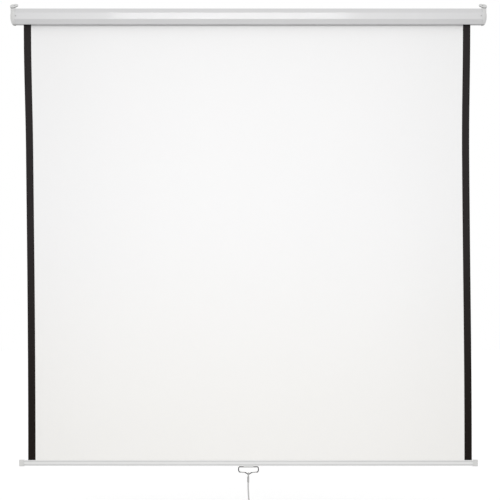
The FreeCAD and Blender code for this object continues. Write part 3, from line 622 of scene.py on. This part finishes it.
CORD_DIAMETER = 0.0055
CORD_LENGTH = 0.2696
CORD_LAY = 0.006
CORD_ROUTE = (
    (-0.0015, -0.031),
    (-0.0015, -0.060),
    (0.0006, -0.094),
    (0.0042, -0.133),
    (0.0082, -0.174),
    (0.0114, -0.218),
    (0.0132, -0.262),
    (0.0132, -0.300),
)
dip = Vector(joints["cord_swing"]["pos_m"])
route = [dip + Vector((x, 0, z)) for x, z in CORD_ROUTE]
cord_braid = braid("cord_braid", CORD_LENGTH / CORD_LAY)
cord = smooth_line("pull_cord_braid", route, CORD_DIAMETER / 2, cord_braid)

STEPS_A_TURN = 8


def winding(turns, radius, first_angle, first_z, last_z):
    """Points of a strand wound round an upright line."""
    steps = turns * STEPS_A_TURN
    points = []
    for step in range(steps + 1):
        angle = first_angle + 2 * math.pi * step / STEPS_A_TURN
        height = first_z + (last_z - first_z) * step / steps
        points.append(Vector((radius * math.cos(angle), radius * math.sin(angle), height)))
    return points


HITCH_TURNS = 6
HITCH_STRAND = 0.0021
HITCH_WIND = 0.0027
HITCH_TOP = -0.0088
HITCH_BOTTOM = -0.0302
HITCH_LAYS = 30
STRAND_UP = (0, -0.0312), (0, -0.016), (0.001, -0.009)
WIRE_LOOP = 0.0046
OVER_WIRE = (
    (-0.0010, 1.05, -0.9),
    (-0.0004, 1.3, 0.6),
    (0.0006, 0, 1.55),
    (0.0010, -1.3, 0.6),
    (0.0004, -1.05, -0.9),
)
HITCH_STUB = Vector((0.0040, -0.0015, -0.0010))
hitch_middle = dip + Vector((CORD_ROUTE[0][0], 0, 0))
hitch_points = [hitch_middle + Vector((0, y, z)) for y, z in STRAND_UP]
hitch_points += [dip + Vector((x, y * WIRE_LOOP, z * WIRE_LOOP)) for x, y, z in OVER_WIRE]
hitch_winds = winding(HITCH_TURNS, HITCH_WIND, -math.pi / 2, HITCH_TOP, HITCH_BOTTOM)
hitch_points += [hitch_middle + point for point in hitch_winds]
hitch_points.append(hitch_points[-1] + HITCH_STUB)
hitch = smooth_line("cord_hitch_wound", hitch_points, HITCH_STRAND, braid("hitch_braid", HITCH_LAYS))

KNOT_TURNS = 3
KNOT_STRAND = 0.0026
KNOT_WIND = 0.0034
KNOT_LOW = -0.0124
KNOT_HIGH = -0.0026
KNOT_LAYS = 16
KNOT_LEAD = [Vector((0, 0, 0.002)), Vector((0, 0, -0.011))]
KNOT_TAIL = [Vector((-0.001, 0.0005, -0.006)), Vector((0.0008, 0, -0.020))]
knot_winds = winding(KNOT_TURNS, KNOT_WIND, 0, KNOT_LOW, KNOT_HIGH)
knot_points = [route[-1] + point for point in KNOT_LEAD + knot_winds + KNOT_TAIL]
end_knot = smooth_line("cord_stopper_knot", knot_points, KNOT_STRAND, braid("knot_braid", KNOT_LAYS))

for piece, node in ((cord, "pull_cord"), (hitch, "cord_hitch"), (end_knot, "cord_end_knot")):
    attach(piece, "cord")
    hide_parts(node)


# Studio. A pale floor below the cord, which keeps the shadow and is clear from underneath, a white
# sky that lights everything evenly, and one large soft box above the camera, aimed at the sheet.
WHITE = (1.0, 1.0, 1.0, 1.0)
BLACK = (0.0, 0.0, 0.0, 1.0)


def on_show(tone):
    """One for the rays that show a background: straight to the camera, mirrored or seen through."""
    rays = tone.add("LightPath", output="Is Camera Ray")
    seen = rays
    for kind in ("Is Glossy Ray", "Is Transmission Ray"):
        seen = rays.maths("MAXIMUM", seen, Tone(rays.tree, rays.socket.node.outputs[kind]))
    return seen


FLOOR_Z = -2.24
FLOOR_RADIUS = 14.0
FLOOR_SIDES = 96
FLOOR_PALE = (0.86, 0.86, 0.86, 1.0)
FLOOR_GLOW = 0.39
floor_form = bmesh.new()
bmesh.ops.create_circle(floor_form, cap_ends=True, segments=FLOOR_SIDES, radius=FLOOR_RADIUS)
bmesh.ops.translate(floor_form, verts=floor_form.verts, vec=(0, 0, FLOOR_Z))
floor_mesh = bpy.data.meshes.new("floor")
floor_form.to_mesh(floor_mesh)
floor_form.free()
floor = bpy.data.objects.new("floor", floor_mesh)
bpy.context.scene.collection.objects.link(floor)
floor_paint, floor_place = new_finish("floor_pale")
floor_sockets = {
    "Base Color": FLOOR_PALE,
    "Roughness": 0.8,
    "Emission Color": on_show(floor_place).mix(BLACK, WHITE),
    "Emission Strength": FLOOR_GLOW,
}
pale = floor_place.add("BsdfPrincipled", None, floor_sockets)
clear = floor_place.add("BsdfTransparent")
from_below = floor_place.add("NewGeometry", output="Backfacing")
one_sided = floor_place.add("MixShader", None, {0: from_below, 1: pale, 2: clear})
floor_place.add("OutputMaterial", None, {"Surface": one_sided})
floor_mesh.materials.append(floor_paint)

SKY_LIGHT = 0.72
world = bpy.data.worlds.new("white_sky")
world.use_nodes = True
world.node_tree.nodes.clear()
sky = Tone(world.node_tree)
lighting = sky.add("Background", None, {"Color": WHITE, "Strength": SKY_LIGHT})
showing = sky.add("Background", None, {"Color": WHITE, "Strength": 1.0})
blend = sky.add("MixShader", None, {0: on_show(sky), 1: lighting, 2: showing})
sky.add("OutputWorld", None, {"Surface": blend})
bpy.context.scene.world = world

BOX_PLACE = Vector((-0.14, -6.2, 1.0))
BOX_TARGET = Vector((0, 0, -0.8))
BOX_WIDTH = 1.9
BOX_HEIGHT = 1.3
BOX_POWER = 11.0
BOX_SPREAD = 50.0
lamp = bpy.data.lights.new("key_box", "AREA")
lamp.shape = "RECTANGLE"
lamp.size = BOX_WIDTH
lamp.size_y = BOX_HEIGHT
lamp.energy = BOX_POWER
lamp.spread = math.radians(BOX_SPREAD)
key_box = bpy.data.objects.new("key_box", lamp)
key_box.location = BOX_PLACE
key_box.rotation_euler = (BOX_TARGET - BOX_PLACE).to_track_quat("-Z", "Y").to_euler()
key_box.visible_camera = False
bpy.context.scene.collection.objects.link(key_box)


# Camera. Straight on to the sheet and level, at the height of its middle, with a long lens from
# across the room, so that the case and the bar show almost without perspective.
CAMERA_X = 0.006
CAMERA_Z = -0.938
CAMERA_BACK = 6.2
SENSOR_WIDTH = 36.0
FOCAL_LENGTH = 110.77
lens = bpy.data.cameras.new("camera")
lens.sensor_width = SENSOR_WIDTH
lens.lens = FOCAL_LENGTH
camera = bpy.data.objects.new("camera", lens)
camera.location = (CAMERA_X, sheet_y - CAMERA_BACK, CAMERA_Z)
camera.rotation_euler = (math.pi / 2, 0, 0)
bpy.context.scene.collection.objects.link(camera)
bpy.context.scene.camera = camera
bpy.context.scene.view_settings.view_transform = "Standard"
